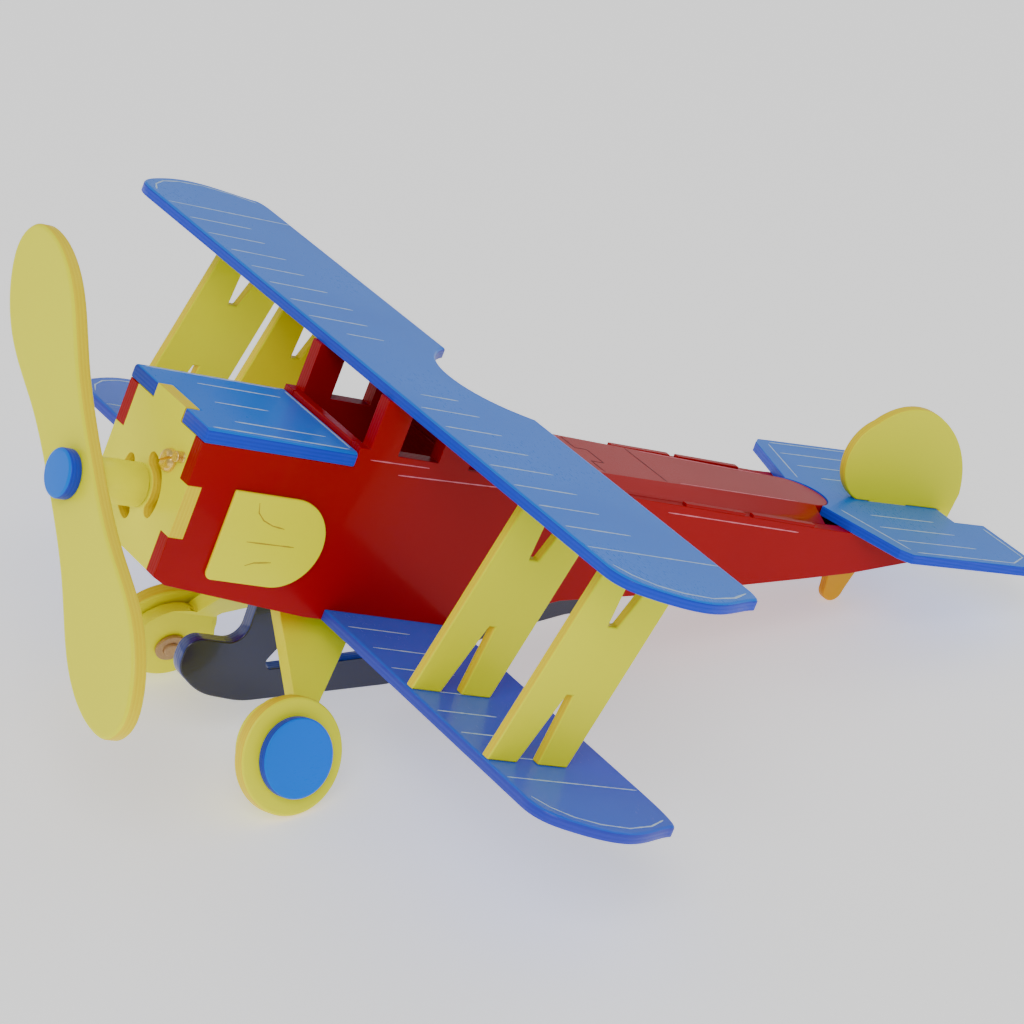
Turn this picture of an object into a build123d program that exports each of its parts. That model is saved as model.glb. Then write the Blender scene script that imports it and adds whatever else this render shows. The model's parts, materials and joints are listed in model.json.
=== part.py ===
from build123d import *
import math
import os

# Slot-together plywood biplane, standing on its two wheels and tail skid, in millimetres.
# It is drawn level: X runs along the span (+X is the left wing), Y runs aft, Z up, with
# the propeller shaft on the Y axis and the front of the nose plate at Y = 0.
# Each finished piece is then tipped into the standing attitude.

# stock
body_ply = 6.0            # fuselage sides, nose, gear, keel and propeller
wing_ply = 4.0            # wings, struts, tail and formers
panel_ply = 1.5           # engine side panels

# fits
slip = 0.3                # clearance around a part that drops into a notch
running = 0.05            # radial clearance of a turning shaft

# fuselage
fuselage_width = 56.0     # over both sides
side_inner = fuselage_width / 2 - body_ply
nose_top = 29.5           # side height under the cowl
nose_bottom = -22.5
chin_drop = 2.5
belly_low = -30.0
deck_base = 35.0          # side height behind the cockpit
post_top = 56.0           # underside of the upper wing
cockpit_sill = 36.0
cowl_length = 64.0
cowl_ply = 5.5
front_post = (68.5, 81.0)
rear_post = (99.0, 113.0)
tail_end = 338.0
tail_seat = 45.0          # length of the sides under the stabiliser
deck_end = tail_end - tail_seat
tail_incidence = 2.3      # degrees, rising aft
belly_line = [(176.5, -10.0), (217.0, -2.5), (256.0, 6.2), (286.0, 12.9), (310.0, 18.5), (tail_end, 27.0)]

# nose
tab_low = -7.0
tab_high = 13.0
nose_tab_half = 10.5
slot_radius = 11.5        # centreline of the two kidney slots
slot_width = 5.5
slot_start = -25.0
slot_sweep = 102.0
screw_x = 12.7
screw_z = 15.6
screw_head = 4.2
screw_shank = 1.6
screw_height = 3.0
pin_z = 19.6
pin_radius = 2.0
pin_edge = 1.1            # wood left between the pin and the fuselage side
pin_x = side_inner - pin_edge - pin_radius
pin_reach = 3.0

# wings
wing_half = 187.0
wing_chord = 60.0
tip_start = 166.0
upper_lead = 70.0         # leading edge station
lower_lead = 75.0
lower_top = -26.0         # upper face of the lower wing
cutout_radius = 38.0
cutout_offset = 80.0      # centre of the trailing edge scallop behind the leading edge
strut_inner = 87.5
strut_outer = 139.0
strut_chord = 35.0
strut_station = 93.0      # middle of the strut's foot
strut_lean = 0.235        # aft per unit of height

# landing gear
arch_flat = 13.0
arch_front = 65.0
arch_rear = 97.0
leg_front = 67.5         # narrow waist of the leg above the pad
leg_rear = 77.5
arch_knee_x = 41.4
arch_knee_z = -58.0
camber = 18.0
pad_radius = 17.0
axle_station = 66.0
axle_below_knee = 18.2    # along the pad
wheel_radius = 21.7
wheel_width = 5.5
wheel_gap = 1.0
hub_radius = 14.8
hub_width = 4.0
axle_radius = 3.0
washer_radius = 6.0
washer_width = 1.5
keel_tenon = (70.0, 88.0)

# tail
tongue_half = 13.0
stab_half = 54.0
stab_lead = 4.0           # leading edge behind the deck's end
stab_chord = 86.0
rudder_tenon = (deck_end + 37.0, deck_end + 57.0)
skid_tenon = (tail_end - 13.0, tail_end - 2.0)
rudder_toe = 30.0         # front of the rudder's foot behind the deck's end
rudder_heel = 81.4        # back of its foot
rudder_drop = 39.0        # its foot in the stabiliser's rear notch

# propeller
prop_radius = 100.0
prop_face = -23.0         # rear face of the blades
blade_root = 14.0
blade_half = 20.5
blade_angle = 53.0        # degrees from vertical, upper blade towards the right wing
cap_radius = 9.0
cap_ply = 5.0
boss_radius = 8.0
boss_gap = 0.5
shaft_radius = 3.0
bush_radius = 5.0
collar_radius = 6.0
collar_width = 6.0

# worked out from the sizes above
side_outer = fuselage_width / 2
tail_slope = math.tan(math.radians(tail_incidence))
tail_top = deck_base + tail_slope * (tail_end - deck_end)
lower_tail = lower_lead + wing_chord
wing_seat = lower_top - wing_ply
belly_points = [(lower_tail, lower_top + 0.5)] + belly_line
belly_front_line = [(body_ply, nose_bottom - chin_drop), (67.0, belly_low)]
stab_plane = Plane(
    origin=(0, deck_end, deck_base),
    x_dir=(1, 0, 0),
    z_dir=(0, -math.sin(math.radians(tail_incidence)), math.cos(math.radians(tail_incidence))),
)
os.makedirs("parts", exist_ok=True)


def height_on(points, station):
    """Height of a broken line at a station along it."""
    for (y0, z0), (y1, z1) in zip(points, points[1:]):
        if y0 <= station <= y1:
            return z0 + (z1 - z0) * (station - y0) / (y1 - y0)
    raise ValueError("station is off the line")


# --- fuselage -----------------------------------------------------------------------

nose_corner = (5.5, nose_bottom - chin_drop)
with BuildSketch() as side_outline:
    with BuildLine():
        Polyline(
            (0, nose_bottom),
            nose_corner,
            belly_front_line[-1],
            (lower_lead, belly_low),
            (lower_lead, lower_top),
            (lower_tail, lower_top),
            *belly_points,
            (tail_end, tail_top),
            (deck_end, deck_base),
            (rear_post[1], deck_base),
            (rear_post[1], post_top),
            (rear_post[0], post_top),
            (rear_post[0], cockpit_sill),
            (front_post[1], cockpit_sill),
            (front_post[1], post_top),
            (front_post[0], post_top),
            (front_post[0], cockpit_sill + 1),
            (cowl_length, cockpit_sill + 1),
            (cowl_length, nose_top),
            (0, nose_top),
            (0, tab_high),
            (body_ply, tab_high),
            (body_ply, tab_low),
            (0, tab_low),
            close=True,
        )
    make_face()

with BuildPart() as side_left:
    with BuildSketch(Plane.YZ.offset(side_inner)):
        add(side_outline.sketch)
    extrude(amount=body_ply)

with BuildPart() as side_right:
    with BuildSketch(Plane.YZ.offset(-side_outer)):
        add(side_outline.sketch)
    extrude(amount=body_ply)

# The nose plate closes the front: a tab each side fills the notch in the fuselage side,
# and a tab on top fills the notch in the cowl.
kidney_line = CenterArc((0, 0), slot_radius, slot_start, slot_sweep)
with BuildPart() as nose_plate:
    with BuildSketch(Plane.XZ.offset(-body_ply)):
        with Locations((0, (nose_top + nose_bottom) / 2)):
            Rectangle(2 * side_inner, nose_top - nose_bottom)
        with Locations((0, (tab_low + tab_high) / 2)):
            Rectangle(2 * side_outer, tab_high - tab_low)
        with Locations((0, nose_top + cowl_ply / 2)):
            Rectangle(2 * nose_tab_half, cowl_ply)
        Circle(bush_radius, mode=Mode.SUBTRACT)
        with Locations((screw_x, screw_z)):
            Circle(screw_shank, mode=Mode.SUBTRACT)
        with Locations((pin_x, pin_z)):
            Circle(pin_radius, mode=Mode.SUBTRACT)
        with PolarLocations(0, 2):
            SlotArc(kidney_line, slot_width, mode=Mode.SUBTRACT)
    extrude(amount=body_ply)

with BuildPart() as cowl_plate:
    with BuildSketch(Plane.XY.offset(nose_top)):
        with Locations((0, cowl_length / 2)):
            Rectangle(2 * side_outer + 1, cowl_length)
        with Locations((0, (body_ply + slip) / 2)):
            Rectangle(2 * (nose_tab_half + slip), body_ply + slip, mode=Mode.SUBTRACT)
    extrude(amount=cowl_ply)
    long_edges = cowl_plate.edges().filter_by(Axis.Y).group_by(Axis.Z)[-1].sort_by(Axis.X)
    fillet([long_edges[0], long_edges[-1]], cowl_ply / 3)

# The deck over the rear fuselage has bevelled flanks and ends in a round tongue.
deck_front_top = side_outer - 8.0
deck_front_base = side_outer - 1.0
deck_rear_base = side_outer - 5.0
with BuildPart() as rear_deck:
    with BuildSketch(Plane.XY.offset(deck_base)):
        with BuildLine():
            Polyline(
                (-deck_front_base, rear_post[1]),
                (deck_front_base, rear_post[1]),
                (deck_rear_base, deck_end),
                (-deck_rear_base, deck_end),
                close=True,
            )
        make_face()
    with BuildSketch(Plane.XY.offset(deck_base + wing_ply)):
        with BuildLine():
            Polyline(
                (-deck_front_top, rear_post[1]),
                (deck_front_top, rear_post[1]),
                (tongue_half, deck_end),
                (-tongue_half, deck_end),
                close=True,
            )
        make_face()
    loft()
    with BuildSketch(Plane.XY.offset(deck_base)):
        with Locations((0, deck_end)):
            Circle(tongue_half)
    extrude(amount=wing_ply)

with BuildPart() as front_former:
    with BuildSketch(Plane.XZ.offset(-front_post[0])):
        with Locations((0, (lower_top + slip + cockpit_sill + 1) / 2)):
            Rectangle(2 * side_inner, cockpit_sill + 1 - lower_top - slip)
    extrude(amount=front_post[0] - cowl_length)

with BuildPart() as rear_former:
    with BuildSketch(Plane.XZ.offset(-rear_post[1] - wing_ply)):
        with Locations((0, (lower_top + deck_base) / 2)):
            Rectangle(2 * side_inner, deck_base - lower_top)
    extrude(amount=wing_ply)

with BuildPart() as cockpit_floor:
    with BuildSketch(Plane.XY.offset(lower_top)):
        with Locations((0, (lower_lead + rear_post[1]) / 2)):
            Rectangle(2 * side_inner, rear_post[1] - lower_lead)
    extrude(amount=wing_ply)

with BuildPart() as belly_front:
    with BuildSketch(Plane.YZ.offset(-side_inner)):
        with BuildLine():
            Polyline(
                *belly_front_line,
                (lower_lead, belly_low),
                (lower_lead, belly_low + wing_ply),
                (belly_front_line[-1][0], belly_low + wing_ply),
                (body_ply, nose_bottom - chin_drop + wing_ply),
                close=True,
            )
        make_face()
    extrude(amount=2 * side_inner)

block_front = deck_end + tongue_half + 2.0
block_rear = tail_end - 2.0
belly_rear_line = [p for p in belly_points if p[0] < block_front]
belly_rear_line.append((block_front, height_on(belly_points, block_front)))
with BuildPart() as belly_rear:
    with BuildSketch(Plane.YZ.offset(-side_inner)):
        with BuildLine():
            raised_line = [(y, z + wing_ply) for y, z in reversed(belly_rear_line)]
            Polyline(*belly_rear_line, *raised_line, close=True)
        make_face()
    extrude(amount=2 * side_inner)

skid_socket = 6.0         # depth of the tail skid's tenon in the block
with BuildPart() as tail_block:
    with BuildSketch(Plane.YZ.offset(-side_inner)):
        with BuildLine():
            Polyline(
                (block_front, height_on(belly_points, block_front)),
                (block_rear, height_on(belly_points, block_rear)),
                (block_rear, deck_base + tail_slope * (block_rear - deck_end)),
                (block_front, deck_base + tail_slope * (block_front - deck_end)),
                close=True,
            )
        make_face()
    extrude(amount=2 * side_inner)
    with BuildSketch(Plane.YZ.offset(-wing_ply / 2)):
        with BuildLine():
            Polyline(
                (skid_tenon[0], 0),
                (skid_tenon[1], 0),
                (skid_tenon[1], height_on(belly_points, skid_tenon[1]) + skid_socket),
                (skid_tenon[0], height_on(belly_points, skid_tenon[0]) + skid_socket),
                close=True,
            )
        make_face()
    extrude(amount=wing_ply, mode=Mode.SUBTRACT)

# The engine side panel is a D with its straight edge forward.
panel_front = 19.3
panel_middle = -2.8       # height of the round end's centre
panel_round = 17.3
panel_reach = 63.4
panel_corner = 3.0
panel_low = panel_middle - panel_round
panel_high = panel_middle + panel_round
round_start = panel_reach - panel_round
with BuildSketch() as panel_outline:
    with BuildLine():
        Line((panel_front, panel_low + panel_corner), (panel_front, panel_high))
        Line((panel_front, panel_high), (round_start, panel_high))
        ThreePointArc((round_start, panel_high), (panel_reach, panel_middle), (round_start, panel_low))
        Line((round_start, panel_low), (panel_front + panel_corner, panel_low))
        RadiusArc((panel_front + panel_corner, panel_low), (panel_front, panel_low + panel_corner), panel_corner)
    make_face()

with BuildPart() as side_panel_left:
    with BuildSketch(Plane.YZ.offset(side_outer)):
        add(panel_outline.sketch)
    extrude(amount=panel_ply)

with BuildPart() as side_panel_right:
    with BuildSketch(Plane.YZ.offset(-side_outer - panel_ply)):
        add(panel_outline.sketch)
    extrude(amount=panel_ply)

# --- wings --------------------------------------------------------------------------

tip_reach = wing_half - tip_start
with BuildSketch() as wing_plan:
    with BuildLine() as half_plan:
        Line((0, 0), (tip_start, 0))
        Spline(
            (tip_start, 0),
            (tip_start + 0.76 * tip_reach, 0.18 * wing_chord),
            (wing_half, 0.58 * wing_chord),
            (wing_half - 0.38 * tip_reach, 0.93 * wing_chord),
            (wing_half - 0.72 * tip_reach, wing_chord),
            tangents=((1, 0), (-1, 0.15)),
        )
        Line((wing_half - 0.72 * tip_reach, wing_chord), (0, wing_chord))
        mirror(about=Plane.YZ)
    make_face()

wing_round = 1.2
with BuildPart() as top_wing:
    with BuildSketch(Plane((0, upper_lead, post_top))):
        add(wing_plan.sketch)
        with Locations((0, cutout_offset)):
            Circle(cutout_radius, mode=Mode.SUBTRACT)
    extrude(amount=wing_ply)
    fillet(top_wing.faces().sort_by(Axis.Z)[-1].edges(), wing_round)

with BuildPart() as lower_wing:
    with BuildSketch(Plane((0, lower_lead, wing_seat))):
        add(wing_plan.sketch)
    extrude(amount=wing_ply)
    outer_faces = lower_wing.faces().sort_by(Axis.Z)
    fillet(outer_faces[-1].edges().filter_by(GeomType.BSPLINE), wing_round)

# A strut is a leaning plate with a tapered notch in its foot and a wider one in its head.
foot_notch = (4.5, 1.25, 27.0)     # half width at the mouth and the floor, and depth
head_notch = (6.5, 2.0, 28.0)


def on_strut(offset, height):
    """Point on a strut, offset from its leaning centre line."""
    return (strut_station + strut_lean * (height - lower_top) + offset, height)


with BuildSketch() as strut_outline:
    with BuildLine():
        Polyline(
            on_strut(-strut_chord / 2, lower_top),
            on_strut(-foot_notch[0], lower_top),
            on_strut(-foot_notch[1], lower_top + foot_notch[2]),
            on_strut(foot_notch[1], lower_top + foot_notch[2]),
            on_strut(foot_notch[0], lower_top),
            on_strut(strut_chord / 2, lower_top),
            on_strut(strut_chord / 2, post_top),
            on_strut(head_notch[0], post_top),
            on_strut(head_notch[1], post_top - head_notch[2]),
            on_strut(-head_notch[1], post_top - head_notch[2]),
            on_strut(-head_notch[0], post_top),
            on_strut(-strut_chord / 2, post_top),
            close=True,
        )
    make_face()

struts = {}
for strut_name, strut_x in (
    ("strut_left_inner", strut_inner),
    ("strut_left_outer", strut_outer),
    ("strut_right_inner", -strut_inner),
    ("strut_right_outer", -strut_outer),
):
    with BuildPart() as strut:
        with BuildSketch(Plane.YZ.offset(strut_x - wing_ply / 2)):
            add(strut_outline.sketch)
        extrude(amount=wing_ply)
    struts[strut_name] = strut

# --- landing gear -------------------------------------------------------------------

camber_sin = math.sin(math.radians(camber))
camber_cos = math.cos(math.radians(camber))
axle_x = arch_knee_x + axle_below_knee * camber_sin
axle_z = arch_knee_z - axle_below_knee * camber_cos
pad_end = axle_below_knee + pad_radius + 2.0

# The arch is one bent strip: flat under the belly, splayed legs, cambered wheel pads.
with BuildPart() as gear_arch:
    with BuildSketch(Plane.XZ.offset(-110)):
        with BuildLine():
            arch_line = Polyline(
                (-arch_knee_x - pad_end * camber_sin, arch_knee_z - pad_end * camber_cos),
                (-arch_knee_x, arch_knee_z),
                (-arch_flat, belly_low),
                (arch_flat, belly_low),
                (arch_knee_x, arch_knee_z),
                (arch_knee_x + pad_end * camber_sin, arch_knee_z - pad_end * camber_cos),
            )
            offset(arch_line, amount=body_ply, side=Side.RIGHT)
        make_face()
    extrude(amount=80)
    with BuildSketch(Plane.YZ.offset(-arch_knee_x * 2)):
        with BuildLine():
            Polyline(
                (arch_front, belly_low),
                (arch_rear, belly_low),
                (arch_rear, belly_low - body_ply),
                (leg_rear, arch_knee_z),
                (leg_rear, axle_z),
                (leg_front, axle_z),
                (leg_front, arch_knee_z),
                (arch_front, belly_low - body_ply),
                close=True,
            )
        make_face()
        with Locations((axle_station, axle_z)):
            Ellipse(pad_radius, pad_radius * camber_cos)
    extrude(amount=arch_knee_x * 4, mode=Mode.INTERSECT)
    with BuildSketch(Plane.XY.offset(belly_low - body_ply)):
        with Locations((0, sum(keel_tenon) / 2)):
            Rectangle(body_ply, keel_tenon[1] - keel_tenon[0])
    extrude(amount=body_ply, mode=Mode.SUBTRACT)
    for side in (1, -1):
        with BuildSketch(Plane((side * axle_x, axle_station, axle_z), z_dir=(side * camber_cos, 0, camber_sin))):
            Circle(axle_radius + running)
        extrude(amount=body_ply * 1.5, both=True, mode=Mode.SUBTRACT)

# The keel is a long fin under the belly with a rounded lobe in front of the arch.
keel_shoulder = belly_low - body_ply
keel_corners = [
    ((65.2, -54.0), 7.0),
    ((41.5, -54.0), 6.5),
    ((41.5, -67.5), 9.0),
    ((54.0, -75.8), 24.0),
    ((73.0, -77.0), 34.0),
    ((137.0, -62.5), 25.0),
    ((172.0, -38.0), 25.0),
    ((204.0, -25.0), 20.0),
    ((221.0, -22.0), 5.0),
    ((138.0, -48.5), 9.0),
    ((110.0, -55.5), 20.0),
    ((75.5, -63.5), 2.5),
    ((87.0, -42.0), 12.0),
]
keel_belly = [(station, height_on(belly_points, station)) for station in (226.0, 217.0, 176.5, 150.0)]
with BuildSketch() as keel_outline:
    with BuildLine():
        Polyline(
            (keel_tenon[0], belly_low),
            (keel_tenon[0], keel_shoulder),
            (64.5, keel_shoulder),
            *[corner for corner, _ in keel_corners[:9]],
            *keel_belly,
            *[corner for corner, _ in keel_corners[9:]],
            (90.0, keel_shoulder),
            (keel_tenon[1], keel_shoulder),
            (keel_tenon[1], belly_low),
            close=True,
        )
    make_face()
    for corner, radius in keel_corners:
        fillet(keel_outline.vertices().sort_by_distance((*corner, 0))[0], radius)

with BuildPart() as keel_skid:
    with BuildSketch(Plane.YZ.offset(-body_ply / 2)):
        add(keel_outline.sketch)
    extrude(amount=body_ply)

wheel_pieces = {}
for side_name, side in (("left", 1), ("right", -1)):
    outward = (side * camber_cos, 0, camber_sin)
    wheel_start = wheel_gap
    hub_start = wheel_start + wheel_width
    pad_face = Plane((side * axle_x, axle_station, axle_z), z_dir=outward)
    with BuildPart() as wheel:
        with BuildSketch(pad_face.offset(wheel_start)):
            Circle(wheel_radius)
            Circle(axle_radius, mode=Mode.SUBTRACT)
        extrude(amount=wheel_width)
        fillet(wheel.edges().filter_by(GeomType.CIRCLE).group_by(SortBy.RADIUS)[-1], 1.2)
    with BuildPart() as hub_cap:
        with BuildSketch(pad_face.offset(hub_start)):
            Circle(hub_radius)
        extrude(amount=hub_width)
        with BuildSketch(pad_face.offset(hub_start)):
            Circle(axle_radius)
        extrude(amount=hub_width / 2, mode=Mode.SUBTRACT)
    with BuildPart() as wheel_axle:
        with BuildSketch(pad_face.offset(-body_ply - 2 * washer_width)):
            Circle(axle_radius)
        extrude(amount=body_ply + 2 * washer_width + hub_start + hub_width / 2)
    with BuildPart() as wheel_washers:
        for washer_start, washer_height in (
            (-body_ply - slip - washer_width, washer_width),
            (slip, wheel_gap - slip),
        ):
            with BuildSketch(pad_face.offset(washer_start)):
                Circle(washer_radius)
                Circle(axle_radius, mode=Mode.SUBTRACT)
            extrude(amount=washer_height)
    wheel_pieces[f"wheel_{side_name}"] = wheel
    wheel_pieces[f"hub_cap_{side_name}"] = hub_cap
    wheel_pieces[f"wheel_axle_{side_name}"] = wheel_axle
    wheel_pieces[f"wheel_washers_{side_name}"] = wheel_washers

# --- tail ---------------------------------------------------------------------------

stab_notch_half = 14.0
stab_notch_depth = 16.0
with BuildPart() as stabilizer:
    with BuildSketch(stab_plane):
        with BuildLine():
            Polyline((0, stab_lead), (tongue_half, stab_lead), (50, stab_lead + 12), (stab_half, stab_lead + 16))
            Line((stab_half, stab_lead + 16), (stab_half, stab_lead + stab_chord - 8))
            RadiusArc((stab_half, stab_lead + stab_chord - 8), (stab_half - 8, stab_lead + stab_chord), -8)
            Polyline(
                (stab_half - 8, stab_lead + stab_chord),
                (stab_notch_half, stab_lead + stab_chord),
                (stab_notch_half, stab_lead + stab_chord - stab_notch_depth),
                (0, stab_lead + stab_chord - stab_notch_depth),
            )
            mirror(about=Plane.YZ)
        make_face()
        Circle(tongue_half + slip, mode=Mode.SUBTRACT)
        with Locations((0, sum(rudder_tenon) / 2 - deck_end)):
            Rectangle(wing_ply, rudder_tenon[1] - rudder_tenon[0] + 2 * slip, mode=Mode.SUBTRACT)
    extrude(amount=wing_ply)


def stab_height(station, rise):
    """Height of the stabiliser at a station, rise above its lower face."""
    return deck_base + tail_slope * (station - deck_end) + rise


notch_station = deck_end + stab_lead + stab_chord - stab_notch_depth + 1.0
stab_rise = wing_ply / math.cos(math.radians(tail_incidence))
rudder_foot = (deck_end + rudder_toe, stab_height(deck_end + rudder_toe, stab_rise))
with BuildPart() as rudder:
    with BuildSketch(Plane.YZ.offset(-wing_ply / 2)):
        with BuildLine():
            ThreePointArc(rudder_foot, (deck_end + 17.2, 55.5), (deck_end + 25.5, 73.0))
            ThreePointArc((deck_end + 25.5, 73.0), (deck_end + 41.0, 81.5), (deck_end + 59.0, 79.0))
            ThreePointArc((deck_end + 59.0, 79.0), (deck_end + 75.0, 66.5), (deck_end + 82.5, 50.0))
            Line((deck_end + 82.5, 50.0), (deck_end + rudder_heel, rudder_drop))
            Polyline(
                (deck_end + rudder_heel, rudder_drop),
                (notch_station, rudder_drop),
                (notch_station, stab_height(notch_station, stab_rise)),
                (rudder_tenon[1], stab_height(rudder_tenon[1], stab_rise)),
                (rudder_tenon[1], stab_height(rudder_tenon[1], 0)),
                (rudder_tenon[0], stab_height(rudder_tenon[0], 0)),
                (rudder_tenon[0], stab_height(rudder_tenon[0], stab_rise)),
                rudder_foot,
            )
        make_face()
    extrude(amount=wing_ply)

skid_toe = (tail_end - 7.0, 1.0)
skid_round = 5.0
with BuildPart() as tail_skid:
    with BuildSketch(Plane.YZ.offset(-wing_ply / 2)):
        with BuildLine():
            Polyline(
                (skid_toe[0] - skid_round, skid_toe[1]),
                (tail_end - 16.0, height_on(belly_points, tail_end - 16.0)),
                (skid_tenon[0], height_on(belly_points, skid_tenon[0])),
                (skid_tenon[0], height_on(belly_points, skid_tenon[0]) + skid_socket),
                (skid_tenon[1], height_on(belly_points, skid_tenon[1]) + skid_socket),
                (block_rear, height_on(belly_points, block_rear)),
                (tail_end, height_on(belly_points, tail_end)),
                (tail_end + 6.0, height_on(belly_points, tail_end)),
                (tail_end, 8.0),
                (skid_toe[0] + skid_round, skid_toe[1]),
                (skid_toe[0] - skid_round, skid_toe[1]),
            )
        make_face()
        with Locations(skid_toe):
            Circle(skid_round)
    extrude(amount=wing_ply)

# --- propeller ----------------------------------------------------------------------

blade_sin = math.sin(math.radians(blade_angle))
blade_cos = math.cos(math.radians(blade_angle))
blade_plane = Plane((0, prop_face, 0), x_dir=(-blade_sin, 0, blade_cos), z_dir=(0, -1, 0))
with BuildPart() as propeller:
    with BuildSketch(blade_plane):
        with BuildLine():
            Spline(
                (0, blade_root),
                (0.36 * prop_radius, blade_root + 2.0),
                (0.68 * prop_radius, blade_half),
                (0.93 * prop_radius, 0.6 * blade_half),
                (prop_radius, 0),
                tangents=((1, 0), (0, -1)),
            )
            mirror(about=Plane.YZ)
            mirror(about=Plane.XZ)
        make_face()
        Circle(shaft_radius, mode=Mode.SUBTRACT)
    extrude(amount=body_ply)
    blade_faces = propeller.faces().filter_by(GeomType.PLANE)
    blade_edges = blade_faces.edges().filter_by(GeomType.BSPLINE)
    fillet(blade_edges, body_ply / 4)

cap_back = prop_face - body_ply
with BuildPart() as prop_cap:
    with BuildSketch(Plane.XZ.offset(-cap_back)):
        Circle(cap_radius)
    extrude(amount=cap_ply)
    fillet(prop_cap.edges().sort_by(Axis.Y)[0], cap_ply / 4)
    with BuildSketch(Plane.XZ.offset(-cap_back)):
        Circle(shaft_radius)
    extrude(amount=cap_ply / 2, mode=Mode.SUBTRACT)

with BuildPart() as prop_boss:
    with BuildSketch(Plane.XZ.offset(boss_gap)):
        Circle(boss_radius)
        Circle(shaft_radius, mode=Mode.SUBTRACT)
    extrude(amount=-prop_face - boss_gap)

shaft_tail = body_ply + boss_gap + collar_width + 2.0
with BuildPart() as prop_shaft:
    with BuildSketch(Plane.XZ.offset(-shaft_tail)):
        Circle(shaft_radius)
    extrude(amount=shaft_tail - cap_back + cap_ply / 2)

with BuildPart() as shaft_bush:
    with BuildSketch(Plane.XZ.offset(-body_ply)):
        Circle(bush_radius)
        Circle(shaft_radius + running, mode=Mode.SUBTRACT)
    extrude(amount=body_ply)

with BuildPart() as shaft_collar:
    with BuildSketch(Plane.XZ.offset(-body_ply - boss_gap - collar_width)):
        Circle(collar_radius)
        Circle(shaft_radius, mode=Mode.SUBTRACT)
    extrude(amount=collar_width)

# Round-headed brass screw with a straight driver slot, and a small threaded pin above it.
with BuildPart() as nose_screw:
    with BuildSketch(Plane.XZ):
        with Locations((screw_x, screw_z)):
            Circle(screw_head)
    extrude(amount=screw_height)
    fillet(nose_screw.edges().sort_by(Axis.Y)[0], screw_height * 0.8)
    with BuildSketch(Plane.XZ.offset(screw_height)):
        with Locations((screw_x, screw_z)):
            Rectangle(2.4 * screw_head, 1.0, rotation=35)
    extrude(amount=-screw_height / 2, mode=Mode.SUBTRACT)
    with BuildSketch(Plane.XZ.offset(-body_ply)):
        with Locations((screw_x, screw_z)):
            Circle(screw_shank)
    extrude(amount=body_ply)

with BuildPart() as nose_pin:
    with BuildSketch(Plane.XZ.offset(-body_ply)):
        with Locations((pin_x, pin_z)):
            Circle(pin_radius)
    extrude(amount=body_ply + pin_reach)

# --- standing attitude --------------------------------------------------------------

pieces = {
    "nose_plate": nose_plate,
    "side_left": side_left,
    "side_right": side_right,
    "cowl_plate": cowl_plate,
    "rear_deck": rear_deck,
    "front_former": front_former,
    "rear_former": rear_former,
    "cockpit_floor": cockpit_floor,
    "belly_front": belly_front,
    "belly_rear": belly_rear,
    "tail_block": tail_block,
    "side_panel_left": side_panel_left,
    "side_panel_right": side_panel_right,
    "top_wing": top_wing,
    "lower_wing": lower_wing,
    **struts,
    "gear_arch": gear_arch,
    "keel_skid": keel_skid,
    **wheel_pieces,
    "stabilizer": stabilizer,
    "rudder": rudder,
    "tail_skid": tail_skid,
    "propeller": propeller,
    "prop_cap": prop_cap,
    "prop_boss": prop_boss,
    "prop_shaft": prop_shaft,
    "shaft_bush": shaft_bush,
    "shaft_collar": shaft_collar,
    "nose_screw": nose_screw,
    "nose_pin": nose_pin,
}


def lowest(piece, tilt):
    """Lowest point of a piece with the nose raised by an angle."""
    return piece.part.moved(Rotation(-tilt, 0, 0)).bounding_box().min.Z


# The nose rises until the wheels and the tail skid stand on one level.
nose_up = 0.0
wheelbase = skid_toe[0] - axle_station
for _ in range(8):
    step = lowest(tail_skid, nose_up) - lowest(wheel_pieces["wheel_left"], nose_up)
    nose_up += math.degrees(math.atan2(step, wheelbase))

tilted = Rotation(-nose_up, 0, 0)
whole = Compound(children=[piece.part.moved(tilted) for piece in pieces.values()]).bounding_box()
standing = Pos(-whole.center().X, -whole.center().Y, -whole.min.Z) * tilted
print("nose up", round(nose_up, 3), "degrees; overall size", whole.size)

for name, piece in pieces.items():
    piece.part = piece.part.moved(standing)
    piece.part.label = name
    export_step(piece.part, f"parts/{name}.step")
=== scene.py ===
import bpy
import json
import math
import random
from mathutils import Matrix, Vector


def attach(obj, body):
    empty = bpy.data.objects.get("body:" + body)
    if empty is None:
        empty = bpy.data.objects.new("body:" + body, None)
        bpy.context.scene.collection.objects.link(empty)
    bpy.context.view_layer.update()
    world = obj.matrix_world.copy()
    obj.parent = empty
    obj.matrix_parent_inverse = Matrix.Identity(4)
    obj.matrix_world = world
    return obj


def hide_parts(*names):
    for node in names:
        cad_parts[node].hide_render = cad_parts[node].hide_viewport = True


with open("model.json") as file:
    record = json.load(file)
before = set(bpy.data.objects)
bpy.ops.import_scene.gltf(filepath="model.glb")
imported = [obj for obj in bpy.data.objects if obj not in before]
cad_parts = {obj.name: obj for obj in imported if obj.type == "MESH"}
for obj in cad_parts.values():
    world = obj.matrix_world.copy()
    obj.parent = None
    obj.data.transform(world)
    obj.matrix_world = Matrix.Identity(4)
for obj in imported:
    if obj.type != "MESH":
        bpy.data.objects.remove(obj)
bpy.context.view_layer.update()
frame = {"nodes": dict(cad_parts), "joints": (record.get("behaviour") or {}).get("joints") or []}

nodes = frame["nodes"]
mm = 0.001

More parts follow.
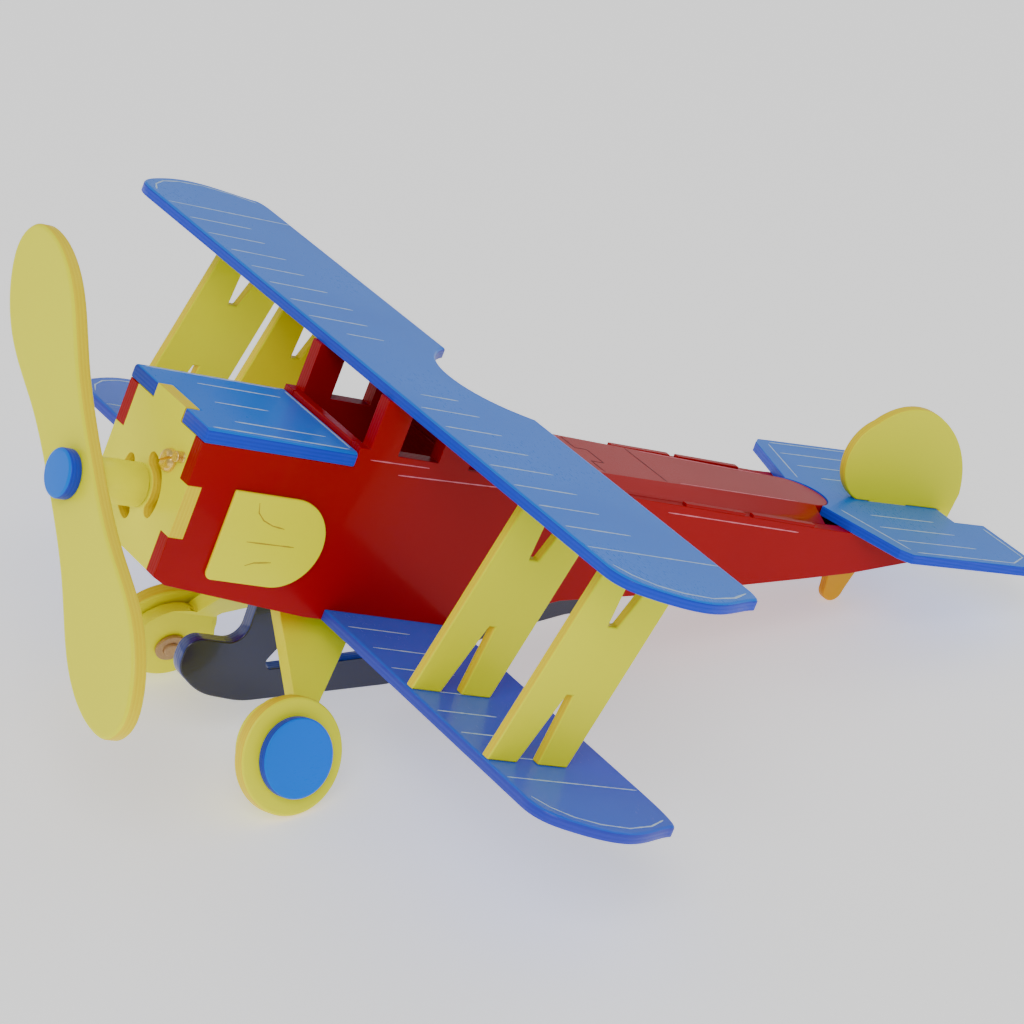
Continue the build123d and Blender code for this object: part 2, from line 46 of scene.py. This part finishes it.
# The model stands nose-up. The propeller joint gives the tilt and where the nose is.
spin = {joint["name"]: joint for joint in frame["joints"]}
shaftAxis = Vector(spin["propeller_spin"]["axis"])
noseUp = math.atan2(shaftAxis.z, -shaftAxis.y)
propPlace = 23.0                                 # joint ahead of the nose plate, mm
noseFace = Vector(spin["propeller_spin"]["pos_m"]) - shaftAxis * propPlace * mm
stand = Matrix.Translation(noseFace) @ Matrix.Rotation(-noseUp, 4, "X")
boardUp = stand.to_3x3() @ Vector((0, 0, 1))     # square to the level sheets
boardAft = stand.to_3x3() @ Vector((0, 1, 0))    # square to the nose plate
acrossX = Vector((1, 0, 0))


def place(x, y, z):
    # level airframe millimetres to the standing model in metres
    return stand @ (Vector((x, y, z)) * mm)


# camera, from the left of the nose and a little above
camera = {"azimuth": 56.58, "elevation": 27.31, "roll": 5.05, "distance": 1.43, "lens": 140.6,
          "sensor": 36, "farClip": 50, "aim": (50.2, -39.5, 101.7)}


def lookMatrix(position, target, roll):
    back = (position - target).normalized()
    right = Vector((0, 0, 1)).cross(back).normalized()
    up = back.cross(right)
    turnedAround = Matrix((right, up, back)).transposed().to_4x4()
    return Matrix.Translation(position) @ turnedAround @ Matrix.Rotation(math.radians(roll), 4, "Z")


azimuth = math.radians(camera["azimuth"])
elevation = math.radians(camera["elevation"])
aim = Vector(camera["aim"]) * mm
eye = aim + camera["distance"] * Vector((math.sin(azimuth) * math.cos(elevation),
                                         -math.cos(azimuth) * math.cos(elevation),
                                         math.sin(elevation)))
cameraObject = bpy.data.objects.new("camera", bpy.data.cameras.new("camera"))
cameraObject.data.lens = camera["lens"]
cameraObject.data.sensor_width = camera["sensor"]
cameraObject.data.clip_end = camera["farClip"]
cameraObject.matrix_world = lookMatrix(eye, aim, camera["roll"])
bpy.context.scene.collection.objects.link(cameraObject)
bpy.context.scene.camera = cameraObject
print("camera set")

# soft studio light; a lamp is its name, place, size in metres and power in watts
studio = {"world": 0.5, "aim": (0, 0, 0.08),
          "lamps": [("keyLight", (1.6, -1.3, 2.2), 1.4, 30.0),
                    ("fillLight", (-1.8, -1.6, 1.5), 2.0, 7.0),
                    ("backLight", (-0.6, 2.0, 1.8), 1.6, 9.0)]}
world = bpy.data.worlds.new("studio")
world.use_nodes = True
backdrop = world.node_tree.nodes["Background"]
backdrop.inputs["Color"].default_value = (1.0, 1.0, 1.0, 1.0)
backdrop.inputs["Strength"].default_value = studio["world"]
bpy.context.scene.world = world
for lampName, spot, size, power in studio["lamps"]:
    lamp = bpy.data.objects.new(lampName, bpy.data.lights.new(lampName, "AREA"))
    lamp.data.size = size
    lamp.data.energy = power
    lamp.matrix_world = lookMatrix(Vector(spot), Vector(studio["aim"]), 0)
    bpy.context.scene.collection.objects.link(lamp)
print("lights set")


class Wire:
    # one output socket; arithmetic on it adds Math nodes

    def __init__(self, paint, socket):
        self.paint = paint
        self.socket = socket

    def maths(self, operation, *values):
        return self.paint.node("Math", {"operation": operation}, dict(enumerate(values)))

    def __add__(self, other):
        return self.maths("ADD", self, other)

    def __radd__(self, other):
        return self.maths("ADD", other, self)

    def __mul__(self, other):
        return self.maths("MULTIPLY", self, other)

    def __rmul__(self, other):
        return self.maths("MULTIPLY", other, self)

    def __lt__(self, other):
        return self.maths("LESS_THAN", self, other)

    def __gt__(self, other):
        return self.maths("GREATER_THAN", self, other)

    def __abs__(self):
        return self.maths("ABSOLUTE", self)

    def sine(self):
        return self.maths("SINE", self)


class Paint:
    # a new material and the ways to add nodes to it

    def __init__(self, name):
        self.material = bpy.data.materials.new(name)
        self.material.use_nodes = True
        self.tree = self.material.node_tree
        self.tree.nodes.clear()

    def node(self, kind, settings=None, values=None, output=0):
        made = self.tree.nodes.new("ShaderNode" + kind)
        for key, value in (settings or {}).items():
            setattr(made, key, value)
        for key, value in (values or {}).items():
            if isinstance(value, Wire):
                self.tree.links.new(value.socket, made.inputs[key])
            else:
                made.inputs[key].default_value = value
        return Wire(self, made.outputs[output])

    def mixColour(self, factor, first, second):
        # sockets 6 and 7 of the Mix node are its two colours, output 2 its colour
        ends = [end if isinstance(end, Wire) else (*end, 1) for end in (first, second)]
        return self.node("Mix", {"data_type": "RGBA"}, {0: factor, 6: ends[0], 7: ends[1]}, 2)

    def position(self):
        return self.node("TexCoord", None, None, "Object")

    def along(self, direction, vector):
        values = {0: vector, 1: tuple(direction)}
        return self.node("VectorMath", {"operation": "DOT_PRODUCT"}, values, "Value")

    def noise(self, scale, stretch=(1, 1, 1), detail=3.0):
        spread = self.node("VectorMath", {"operation": "MULTIPLY"}, {0: self.position(), 1: stretch})
        return self.node("TexNoise", None, {"Vector": spread, "Scale": scale, "Detail": detail})

    def edgeMask(self, across, limit):
        # 1 on the sawn edge of a sheet, 0 on its faces
        facing = self.node("TexCoord", None, None, "Normal")
        return abs(self.along(across, facing)) < limit

    def finish(self, values, bumps):
        # bumps are (height, strength, distance), one on top of the other
        normal = None
        for height, strength, distance in bumps:
            settings = {"Height": height, "Strength": strength, "Distance": distance}
            if normal is not None:
                settings["Normal"] = normal
            normal = self.node("Bump", None, settings)
        shader = self.node("BsdfPrincipled", None, dict(values, Normal=normal))
        output = self.tree.nodes.new("ShaderNodeOutputMaterial")
        self.tree.links.new(shader.socket, output.inputs["Surface"])
        return self.material


# face and shade are the painted faces, edge and ply the sawn edges under thinner paint. The edge and ply
# tones are also painted shade, darker than the faces, and on the keel's blue a painted highlight, brighter
# than its face.
enamelColours = {
    "yellow": {"face": (1.0, 1.0, 0.0), "shade": (1.0, 0.94, 0.0), "edge": (1.0, 0.8, 0.0),
               "ply": (0.85, 0.5, 0.0), "rough": 0.3, "coat": 0.1, "sheen": 0.15},
    # the tail skid's yellow, painted orange as painted shade
    "paintedShadeYellow": {"face": (0.95, 0.5, 0.0), "shade": (0.85, 0.4, 0.0), "edge": (0.8, 0.36, 0.0),
              "ply": (0.5, 0.2, 0.0), "rough": 0.3, "coat": 0.1, "sheen": 0.15},
    "red": {"face": (0.46, 0.0, 0.002), "shade": (0.34, 0.0, 0.002), "edge": (0.4, 0.0, 0.003),
            "ply": (0.3, 0.0, 0.004), "rough": 0.24, "coat": 0.08, "sheen": 0.1},
    "blue": {"face": (0.0, 0.22, 0.95), "shade": (0.0, 0.16, 0.8), "edge": (0.02, 0.06, 0.75),
             "ply": (0.01, 0.03, 0.4), "rough": 0.22, "coat": 0.1, "sheen": 0.12},
    "purpleBlue": {"face": (0.02, 0.16, 0.85), "shade": (0.03, 0.1, 0.7), "edge": (0.04, 0.06, 0.6),
                   "ply": (0.02, 0.03, 0.35), "rough": 0.18, "coat": 0.15, "sheen": 0.15},
    # the keel's blue sheet, its face painted nearly black as painted shade and its edges brighter blue as a
    # painted highlight
    "paintedShadeBlue": {"face": (0.004, 0.008, 0.06), "shade": (0.002, 0.003, 0.02),
                 "edge": (0.02, 0.04, 0.28), "ply": (0.01, 0.015, 0.1),
                 "rough": 0.14, "coat": 0.5, "sheen": 0.5},
}
# noise scales, how strongly each shows, and bumps as (strength, distance in metres)
enamelCoat = {"cloudScale": 14.0, "grainScale": 420.0, "speckScale": 1400.0,
              "speckFrom": 0.74, "fleck": 0.35, "grainRough": 0.08, "cloudRough": 0.06,
              "edgeRough": 0.12, "coatRough": 0.08, "ior": 1.5,
              "grainBump": (0.10, 0.0004), "speckBump": (0.06, 0.0002)}
plyEdge = {"scale": 4500.0, "limit": 0.55, "layers": 0.55, "grain": 0.25, "paintOver": 0.55,
           "bump": (0.22, 0.0003)}


def enamel(name, colour, across, grainStretch=(6, 1, 6)):
    # glossy enamel: cloudy depth of colour, grain telegraphing through, ply layers on the sawn edges
    tone = enamelColours[colour]
    paint = Paint(name)
    cloud = paint.noise(enamelCoat["cloudScale"], detail=2.0)
    grain = paint.noise(enamelCoat["grainScale"], grainStretch, 4.0)
    speck = paint.noise(enamelCoat["speckScale"], detail=2.0)
    flecks = (speck > enamelCoat["speckFrom"]) * enamelCoat["fleck"]
    body = paint.mixColour(cloud, tone["face"], tone["shade"])
    roughness = tone["rough"] + grain * enamelCoat["grainRough"] + cloud * enamelCoat["cloudRough"]
    bumps = [(grain, *enamelCoat["grainBump"]), (speck, *enamelCoat["speckBump"])]
    if across is not None:               # a turned or bent piece shows no sawn edge
        edge = paint.edgeMask(across, plyEdge["limit"])
        height = paint.along(across, paint.position())
        layers = (height * plyEdge["scale"]).sine() * 0.5 + 0.5      # 0 to 1 through each layer
        ply = paint.mixColour(layers * plyEdge["layers"] + grain * plyEdge["grain"],
                              tone["edge"], tone["ply"])
        # sawn edges get the edge and ply tones: ply under thin paint, and also painted shade; on the keel's
        # blue the brighter edge is a painted highlight
        sawnEdgeAndPaintedLight = paint.mixColour(plyEdge["paintOver"], ply, tone["edge"])
        body = paint.mixColour(edge, body, sawnEdgeAndPaintedLight)
        roughness = roughness + edge * enamelCoat["edgeRough"]
        bumps.append((layers * edge, *plyEdge["bump"]))
    colourOut = paint.mixColour(flecks, body, tone["shade"])
    values = {"Base Color": colourOut, "Roughness": roughness, "IOR": enamelCoat["ior"],
              "Specular IOR Level": tone["sheen"], "Coat Weight": tone["coat"],
              "Coat Roughness": enamelCoat["coatRough"]}
    return paint.finish(values, bumps)


brassLook = {"bright": (1.0, 0.76, 0.22), "tarnish": (0.78, 0.46, 0.1), "cloudScale": 240.0,
             "scratchScale": 900.0, "stretch": (1, 8, 1), "rough": 0.18, "scratchRough": 0.22,
             "bump": (0.15, 0.0002)}


def brass(name):
    paint = Paint(name)
    cloud = paint.noise(brassLook["cloudScale"])
    scratch = paint.noise(brassLook["scratchScale"], brassLook["stretch"])
    colour = paint.mixColour(cloud, brassLook["bright"], brassLook["tarnish"])
    roughness = brassLook["rough"] + scratch * brassLook["scratchRough"]
    values = {"Base Color": colour, "Metallic": 1.0, "Roughness": roughness}
    return paint.finish(values, [(scratch, *brassLook["bump"])])


dowelLook = {"light": (0.62, 0.4, 0.2), "dark": (0.4, 0.22, 0.09), "stretch": (1, 9, 9),
             "ringScale": 130.0, "poreScale": 900.0, "poreFrom": 0.62, "poreDepth": 0.4,
             "rough": 0.5, "poreRough": 0.2, "ringBump": (0.15, 0.0004), "poreBump": (0.1, 0.0002)}


def dowel(name):
    # bare turned wood with rings and open pores
    paint = Paint(name)
    rings = paint.noise(dowelLook["ringScale"], dowelLook["stretch"], 5.0)
    pores = paint.noise(dowelLook["poreScale"], dowelLook["stretch"], 2.0)
    colour = paint.mixColour(rings, dowelLook["light"], dowelLook["dark"])
    openPores = (pores > dowelLook["poreFrom"]) * dowelLook["poreDepth"]
    colour = paint.mixColour(openPores, colour, dowelLook["dark"])
    values = {"Base Color": colour, "Roughness": dowelLook["rough"] + pores * dowelLook["poreRough"]}
    return paint.finish(values, [(rings, *dowelLook["ringBump"]), (pores, *dowelLook["poreBump"])])


scribeLook = {"scale": 700.0, "dim": 0.72, "wearRough": 0.2, "bump": (0.2, 0.0002)}


def scribePaint(name, colour, rough):
    # the worn, uneven line of a scribed rib; the same paint makes the painted highlight lines
    paint = Paint(name)
    worn = paint.noise(scribeLook["scale"])
    dim = tuple(channel * scribeLook["dim"] for channel in colour)
    values = {"Base Color": paint.mixColour(worn, colour, dim),
              "Roughness": rough + worn * scribeLook["wearRough"]}
    return paint.finish(values, [(worn, *scribeLook["bump"])])


camberLeft = Vector(spin["left_wheel_spin"]["axis"])
camberRight = Vector(spin["right_wheel_spin"]["axis"])
crossGrain = (1, 6, 6)                   # grain that runs across the model
finishes = {
    "yellowSide": enamel("yellowSide", "yellow", acrossX),
    "yellowNose": enamel("yellowNose", "yellow", boardAft, crossGrain),
    "yellowBent": enamel("yellowBent", "yellow", None, crossGrain),
    "paintedShadeSkid": enamel("paintedShadeSkid", "paintedShadeYellow", acrossX),
    "yellowWheelLeft": enamel("yellowWheelLeft", "yellow", camberLeft),
    "yellowWheelRight": enamel("yellowWheelRight", "yellow", camberRight),
    "redSide": enamel("redSide", "red", acrossX),
    "redDeck": enamel("redDeck", "red", boardUp),
    "blueSheet": enamel("blueSheet", "blue", boardUp, crossGrain),
    "blueLower": enamel("blueLower", "purpleBlue", boardUp, crossGrain),
    "blueCapLeft": enamel("blueCapLeft", "blue", camberLeft),
    "blueCapRight": enamel("blueCapRight", "blue", camberRight),
    "blueCapNose": enamel("blueCapNose", "blue", boardAft),
    "paintedShadeKeel": enamel("paintedShadeKeel", "paintedShadeBlue", acrossX),
    "brassTurned": brass("brassTurned"),
    "dowelWood": dowel("dowelWood"),
}
painted = {
    "yellowSide": ["strut_left_inner", "strut_left_outer", "strut_right_inner", "strut_right_outer",
                   "rudder", "side_panel_left", "side_panel_right"],
    "yellowNose": ["nose_plate", "propeller"],
    "yellowBent": ["gear_arch", "prop_boss"],
    "paintedShadeSkid": ["tail_skid"],
    "yellowWheelLeft": ["wheel_left"],
    "yellowWheelRight": ["wheel_right"],
    "redSide": ["side_left", "side_right"],
    "redDeck": ["rear_deck", "front_former", "rear_former", "belly_front", "belly_rear",
                "tail_block", "cockpit_floor"],
    "blueSheet": ["top_wing", "cowl_plate", "stabilizer"],
    "blueLower": ["lower_wing"],
    "blueCapLeft": ["hub_cap_left"],
    "blueCapRight": ["hub_cap_right"],
    "blueCapNose": ["prop_cap"],
    "paintedShadeKeel": ["keel_skid"],
    "brassTurned": ["nose_screw", "nose_pin", "shaft_bush"],
    "dowelWood": ["prop_shaft", "shaft_collar", "wheel_axle_left", "wheel_axle_right",
                  "wheel_washers_left", "wheel_washers_right"],
}
for finishName, nodeNames in painted.items():
    for nodeName in nodeNames:
        mesh = nodes[nodeName].data
        mesh.materials.clear()
        mesh.materials.append(finishes[finishName])
unpainted = sorted(set(nodes) - {name for nodeNames in painted.values() for name in nodeNames})
print("CAD pieces painted; left over:", unpainted)

# Every CAD piece is welded and its flats are joined up, then its sharp edges are sanded round.
sanding = {"width": 0.7, "segments": 3, "sharp": 35, "weld": 0.01, "flat": 0.5}
for piece in nodes.values():
    weld = piece.modifiers.new("weld", "WELD")
    weld.merge_threshold = sanding["weld"] * mm
    flat = piece.modifiers.new("flat", "DECIMATE")
    flat.decimate_type = "DISSOLVE"
    flat.angle_limit = math.radians(sanding["flat"])
    soft = piece.modifiers.new("sanded", "BEVEL")
    soft.width = sanding["width"] * mm
    soft.segments = sanding["segments"]
    soft.limit_method = "ANGLE"
    soft.angle_limit = math.radians(sanding["sharp"])
    soft.harden_normals = True
print("edges sanded")


def newPiece(name, vertices, faces, material):
    # a new mesh that rides on the airframe
    mesh = bpy.data.meshes.new(name)
    mesh.from_pydata(vertices, [], faces)
    mesh.validate()
    mesh.materials.append(material)
    piece = bpy.data.objects.new(name, mesh)
    bpy.context.scene.collection.objects.link(piece)
    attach(piece, "airframe")
    return piece


# scribed lines, and the painted highlight lines drawn the same way, are shallow closed bars of uneven width,
# sunk a little in the face, mm
ink = {"rise": 0.05, "sink": 0.15, "step": 2.0, "wobble": 0.3, "taper": 0.4}
dice = random.Random(7)


def strip(vertices, faces, line, width, normal):
    count = len(line)
    start = len(vertices)
    for index, point in enumerate(line):
        before = line[max(index - 1, 0)]
        after = line[min(index + 1, count - 1)]
        aside = (after - before).normalized().cross(normal).normalized()
        half = width * mm / 2 * (1 + ink["wobble"] * dice.uniform(-1, 1))
        if index in (0, count - 1):
            half *= ink["taper"]
        for side, lift in ((-1, ink["rise"]), (1, ink["rise"]), (1, -ink["sink"]), (-1, -ink["sink"])):
            vertices.append(point + aside * half * side + normal * lift * mm)
    for index in range(count - 1):
        a = start + index * 4
        for k in range(4):
            faces.append((a + k, a + (k + 1) % 4, a + 4 + (k + 1) % 4, a + 4 + k))
    faces.append((start + 3, start + 2, start + 1, start))
    last = start + (count - 1) * 4
    faces.append((last, last + 1, last + 2, last + 3))


def scribed(name, lines, width, normal, material):
    vertices, faces = [], []
    for line in lines:
        points = []
        for first, second in zip(line, line[1:]):
            parts = max(1, int((second - first).length / (ink["step"] * mm)))
            points += [first.lerp(second, k / parts) for k in range(parts)]
        points.append(line[-1])
        strip(vertices, faces, points, width, normal)
    newPiece(name, vertices, faces, material)


# pale lines are scribed ribs, and on the cowl's edges painted highlights
paleRibAndHighlight = scribePaint("paleRibAndHighlight", (0.62, 0.82, 1.0), 0.4)
# pink lines are painted highlights along the top edges of the deck and sides
pinkPaintedHighlight = scribePaint("pinkPaintedHighlight", (0.95, 0.22, 0.3), 0.35)
umberScribe = scribePaint("umberScribe", (0.62, 0.4, 0.0), 0.5)
darkScribe = scribePaint("darkScribe", (0.12, 0.0, 0.01), 0.5)

# wing ribs; y is measured back from each wing's leading edge
wings = {"topWingRibs": {"lead": 70.0, "face": 60.0, "inner": 27.0, "width": 0.75},
         "lowerWingRibs": {"lead": 75.0, "face": -26.0, "inner": None, "width": 0.6}}
rib = {"first": 40.8, "pitch": 16.0, "count": 7, "start": 2.0, "end": 30.0, "play": 2.0,
       "joint": 152.8, "jointStart": 1.5, "jointEnd": 58.5, "innerStart": 11, "innerEnd": 28,
       "rim": [(166, 3.0), (173, 6.5), (179, 13), (182.5, 22), (183.4, 34), (180, 46), (174.5, 55)]}


def wingRibs(wing):
    lead, face = wing["lead"], wing["face"]
    lines = []
    for side in (1, -1):
        for k in range(rib["count"]):
            x = side * (rib["first"] + rib["pitch"] * k)
            front = lead + rib["start"] + dice.uniform(0, rib["play"])
            back = lead + rib["end"] + dice.uniform(-rib["play"], rib["play"])
            lines.append([place(x, front, face), place(x, back, face)])
        x = side * rib["joint"]
        lines.append([place(x, lead + rib["jointStart"], face), place(x, lead + rib["jointEnd"], face)])
        if wing["inner"]:
            x = side * wing["inner"]
            lines.append([place(x, lead + rib["innerStart"], face), place(x, lead + rib["innerEnd"], face)])
        lines.append([place(side * x, lead + y, face) for x, y in rib["rim"]])
    return lines


for wingName, wing in wings.items():
    scribed(wingName, wingRibs(wing), wing["width"], boardUp, paleRibAndHighlight)

# lines along the cowl as (x, front, back), and one across behind them; the two outer lines at x ±26 are
# painted highlights along the rounded edges
cowl = {"face": 35.0, "along": [(-17, 20, 56), (0, 18, 41), (17, 17, 56), (-26, 3, 61), (26, 3, 61)],
        "across": 62.3, "reach": 24.5, "width": 0.75}
cowlLines = [[place(x, y0, cowl["face"]), place(x, y1, cowl["face"])] for x, y0, y1 in cowl["along"]]
cowlLines.append([place(side * cowl["reach"], cowl["across"], cowl["face"]) for side in (-1, 1)])
scribed("cowlRibsAndHighlights", cowlLines, cowl["width"], boardUp, paleRibAndHighlight)
print("wing and cowl lines scribed")

# stabiliser lines follow its slight incidence
tailBoard = {"front": 293.0, "under": 35.0, "thick": 4.0, "incidence": 2.3, "width": 0.6,
             "along": ((17, 26, 60), (28.5, 22, 62), (40.5, 22, 64)),
             "rim": ((51, 24), (51, 76), (44, 86.5), (18, 86.5)), "lead": ((15, 12), (49, 22))}
tailTurn = Matrix.Rotation(math.radians(tailBoard["incidence"]), 3, "X")
tailNormal = stand.to_3x3() @ (tailTurn @ Vector((0, 0, 1)))


def onTail(x, aft):
    local = tailTurn @ Vector((0, aft, tailBoard["thick"]))
    return place(x, tailBoard["front"] + local.y, tailBoard["under"] + local.z)


tailLines = []
for side in (1, -1):
    for x, front, back in tailBoard["along"]:
        tailLines.append([onTail(side * x, front), onTail(side * x, back)])
    for corners in (tailBoard["rim"], tailBoard["lead"]):
        tailLines.append([onTail(side * x, aft) for x, aft in corners])
scribed("stabilizerRibs", tailLines, tailBoard["width"], tailNormal, paleRibAndHighlight)

# finger tabs of the sides, standing a little proud behind the wings
tabs = {"rise": 1.1, "sink": 0.05, "inner": 25.2, "outer": 28.0, "face": 35.0,
        "spans": ((217, 247), (251, 283)), "round": 0.3}


def bar(name, low, high, material):
    corners = [place(x, y, z) for x in (low[0], high[0]) for y in (low[1], high[1])
               for z in (low[2], high[2])]
    faces = [(0, 1, 3, 2), (4, 6, 7, 5), (0, 4, 5, 1), (2, 3, 7, 6), (0, 2, 6, 4), (1, 5, 7, 3)]
    piece = newPiece(name, corners, faces, material)
    rounding = piece.modifiers.new("rounded", "BEVEL")
    rounding.width = tabs["round"] * mm
    rounding.segments = 3


for side, label in ((1, "Left"), (-1, "Right")):
    inner, outer = sorted((side * tabs["inner"], side * tabs["outer"]))
    for index, (front, back) in enumerate(tabs["spans"]):
        low = (inner, front, tabs["face"] - tabs["sink"])
        high = (outer, back, tabs["face"] + tabs["rise"])
        bar(f"sideTab{label}{index}", low, high, finishes["redDeck"])

# Turned brass pin with a fine thread, standing in for the plain one. A groove is (share of the
# pitch, share of the cut), and the tip is (back from the end, smaller than the radius).
pin = {"x": 18.9, "z": 19.6, "radius": 2.0, "depth": 5.8, "reach": 3.0, "start": 0.1, "plain": 0.5,
       "pitch": 0.7, "cut": 0.22, "groove": ((0.25, 1), (0.5, 1), (0.8, 0)),
       "tip": ((0.15, 0.05), (0, 0.35)), "sides": 48}


def turned(name, outline, x, z, sides, material):
    # outline is (distance in front of the nose, radius) in mm
    vertices, faces = [], []
    for ahead, radius in outline:
        for k in range(sides):
            angle = 2 * math.pi * k / sides
            vertices.append(place(x + radius * math.cos(angle), -ahead, z + radius * math.sin(angle)))
    rings = len(outline) - 1
    for row in range(rings):
        for k in range(sides):
            a = row * sides + k
            b = row * sides + (k + 1) % sides
            faces.append((a, b, b + sides, a + sides))
    faces.append(tuple(reversed(range(sides))))
    faces.append(tuple(range(rings * sides, (rings + 1) * sides)))
    piece = newPiece(name, vertices, faces, material)
    for face in piece.data.polygons:
        face.use_smooth = len(face.vertices) == 4
    return piece


pinOutline = [(-pin["depth"], pin["radius"]), (pin["start"], pin["radius"])]
for turn in range(int((pin["reach"] - pin["plain"]) / pin["pitch"])):
    start = pin["start"] + turn * pin["pitch"]
    pinOutline += [(start + share * pin["pitch"], pin["radius"] - cut * pin["cut"])
                   for share, cut in pin["groove"]]
pinOutline += [(pin["reach"] - back, pin["radius"] - less) for back, less in pin["tip"]]
threadedPin = turned("threadedPin", pinOutline, pin["x"], pin["z"], pin["sides"],
                     finishes["brassTurned"])
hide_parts("nose_pin")
print("tabs and pin made")

# engine panel engraving, as (y, z) points on the outer face of each panel
panelLines = {"face": 29.5, "width": 0.45,
              "upper": [(30.3, 11.2), (31.5, 7.5), (34.6, 4.9), (39, 3.4), (44.3, 2.8)],
              "middle": [(30.8, -3.9), (51, -3.5)],
              "lower": [(33.6, -12.9), (36.9, -11.4), (44, -10.4)]}
for side, label in ((1, "Left"), (-1, "Right")):
    lines = [[place(side * panelLines["face"], y, z) for y, z in panelLines[name]]
             for name in ("upper", "middle", "lower")]
    scribed("panelEngraving" + label, lines, panelLines["width"], acrossX * side, umberScribe)

# finger joints across the rear deck, and painted highlight streaks along it and along the sides
deck = {"face": 39.0, "width": 0.5,
        "fingers": [(-16, 184), (-6, 184), (-6, 190), (6, 190), (6, 184), (16, 184)],
        "seam": [(-15, 215), (15, 215)],
        "highlightLines": [((17, 140), (15.5, 183)), ((14.5, 222), (12.5, 284))]}
seams = [[place(x, y, deck["face"]) for x, y in deck[name]] for name in ("fingers", "seam")]
scribed("deckSeams", seams, deck["width"], boardUp, darkScribe)
streaks = [[place(side * x, y, deck["face"]) for x, y in line] for line in deck["highlightLines"] for side in (1, -1)]
scribed("deckHighlightStreaks", streaks, deck["width"], boardUp, pinkPaintedHighlight)

# painted highlight streaks along the top edge of the fuselage sides, as (y, z) ends
sideHighlights = {"face": 28, "width": 0.4,
            "lines": [((84, 29), (128, 30.5)), ((70, 33), (96, 33.5)), ((210, 31.5), (276, 32))]}
for side, label in ((1, "Left"), (-1, "Right")):
    lines = [[place(side * sideHighlights["face"], y, z) for y, z in line] for line in sideHighlights["lines"]]
    scribed("sideHighlightStreaks" + label, lines, sideHighlights["width"], acrossX * side, pinkPaintedHighlight)
print("tail, panels and deck scribed")

# pale floor that glows a little, so that the shadows stay soft
floor = {"reach": 6.0, "colour": (0.92, 0.92, 0.92, 1), "rough": 0.9, "glow": 0.55,
         "grainScale": 60.0, "bump": (0.02, 0.0005)}
floorMesh = bpy.data.meshes.new("floor")
floorCorners = [(x * floor["reach"], y * floor["reach"], 0) for x, y in ((-1, -1), (1, -1), (1, 1), (-1, 1))]
floorMesh.from_pydata(floorCorners, [], [(0, 1, 2, 3)])
floorObject = bpy.data.objects.new("floor", floorMesh)
floorPaint = Paint("paleFloor")
floorLook = {"Base Color": floor["colour"], "Roughness": floor["rough"],
             "Emission Color": (1, 1, 1, 1), "Emission Strength": floor["glow"]}
floorGrain = floorPaint.noise(floor["grainScale"])
floorMesh.materials.append(floorPaint.finish(floorLook, [(floorGrain, *floor["bump"])]))
bpy.context.scene.collection.objects.link(floorObject)
print("floor laid")
